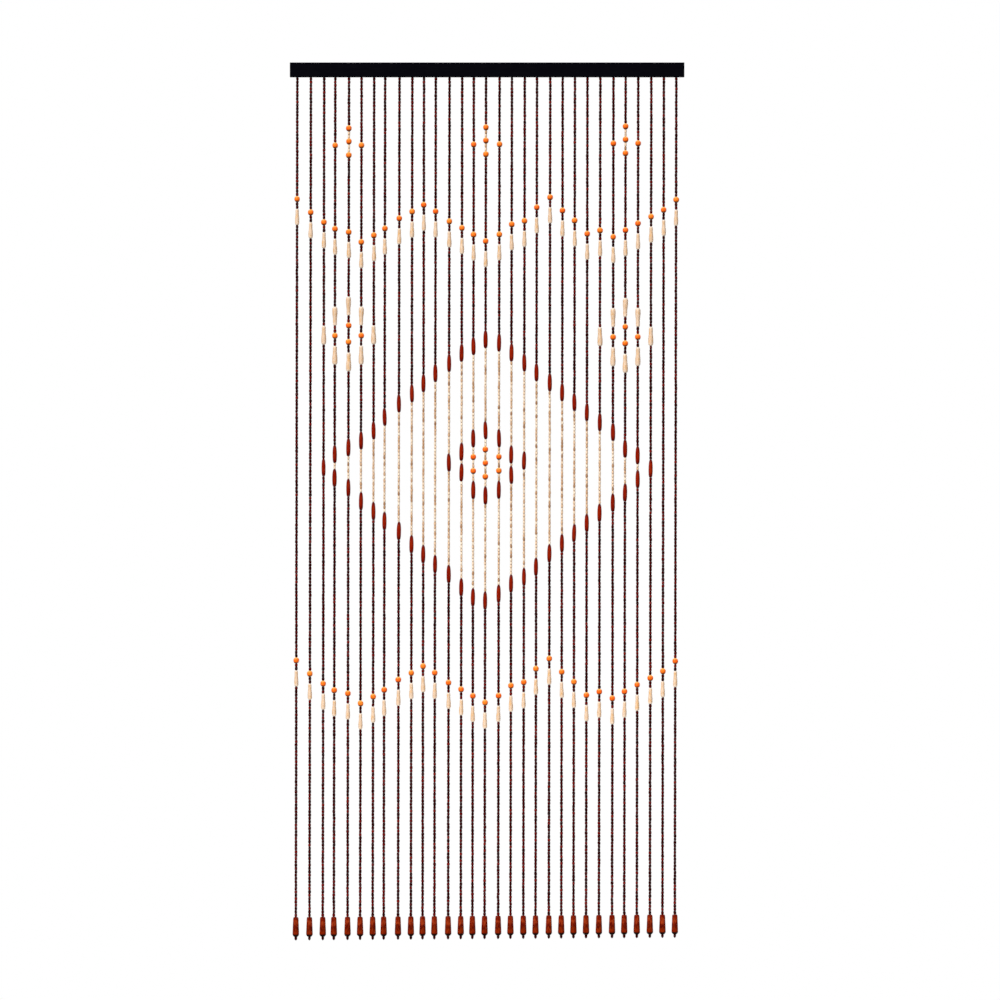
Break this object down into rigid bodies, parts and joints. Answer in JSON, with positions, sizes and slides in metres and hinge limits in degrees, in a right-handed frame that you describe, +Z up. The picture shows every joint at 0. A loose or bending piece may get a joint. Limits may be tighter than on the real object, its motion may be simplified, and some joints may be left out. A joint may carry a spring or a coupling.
{
  "type": "bead curtain with head rail",
  "caption": "Doorway bead curtain: strings of small turned wooden beads under a black head rail, with zigzags, flowers and a diamond of larger beads, and a turned pendant on each string.",
  "frame": {"origin": "middle of the head rail's back face, half way along and half way up it", "axes": "X along the rail, to the right seen from the front; the front faces -Y and the back face +Y; +Z up, with the strings hanging along -Z"},
  "size_m": [0.9, 0.015, 2.0021],
  "materials": {
    "black_paint": "smooth black paint on wood, satin",
    "dark_wood": "turned wood, stained near-black brown with dark red glints",
    "pendant_wood": "turned wood, red-brown stain under clear lacquer",
    "orange_wood": "turned wood, orange stain, darker around the lower hole",
    "cream_wood": "turned pale wood with tan grain streaks",
    "red_wood": "turned wood, deep red stain under clear lacquer",
    "natural_wood": "small unstained wooden beads with brown marks",
    "thread": "black twisted thread"
  },
  "bodies": {
    "root": {"head_rail": "black_paint", "bead_strings": "dark_wood", "pendant_01": "pendant_wood", "pendant_02": "pendant_wood", "pendant_03": "pendant_wood", "pendant_04": "pendant_wood", "pendant_05": "pendant_wood", "pendant_06": "pendant_wood", "pendant_07": "pendant_wood", "pendant_08": "pendant_wood", "pendant_09": "pendant_wood", "pendant_10": "pendant_wood", "pendant_11": "pendant_wood", "pendant_12": "pendant_wood", "pendant_13": "pendant_wood", "pendant_14": "pendant_wood", "pendant_15": "pendant_wood", "pendant_16": "pendant_wood", "pendant_17": "pendant_wood", "pendant_18": "pendant_wood", "pendant_19": "pendant_wood", "pendant_20": "pendant_wood", "pendant_21": "pendant_wood", "pendant_22": "pendant_wood", "pendant_23": "pendant_wood", "pendant_24": "pendant_wood", "pendant_25": "pendant_wood", "pendant_26": "pendant_wood", "pendant_27": "pendant_wood", "pendant_28": "pendant_wood", "pendant_29": "pendant_wood", "pendant_30": "pendant_wood", "pendant_31": "pendant_wood"}
  },
  "joints": []
}
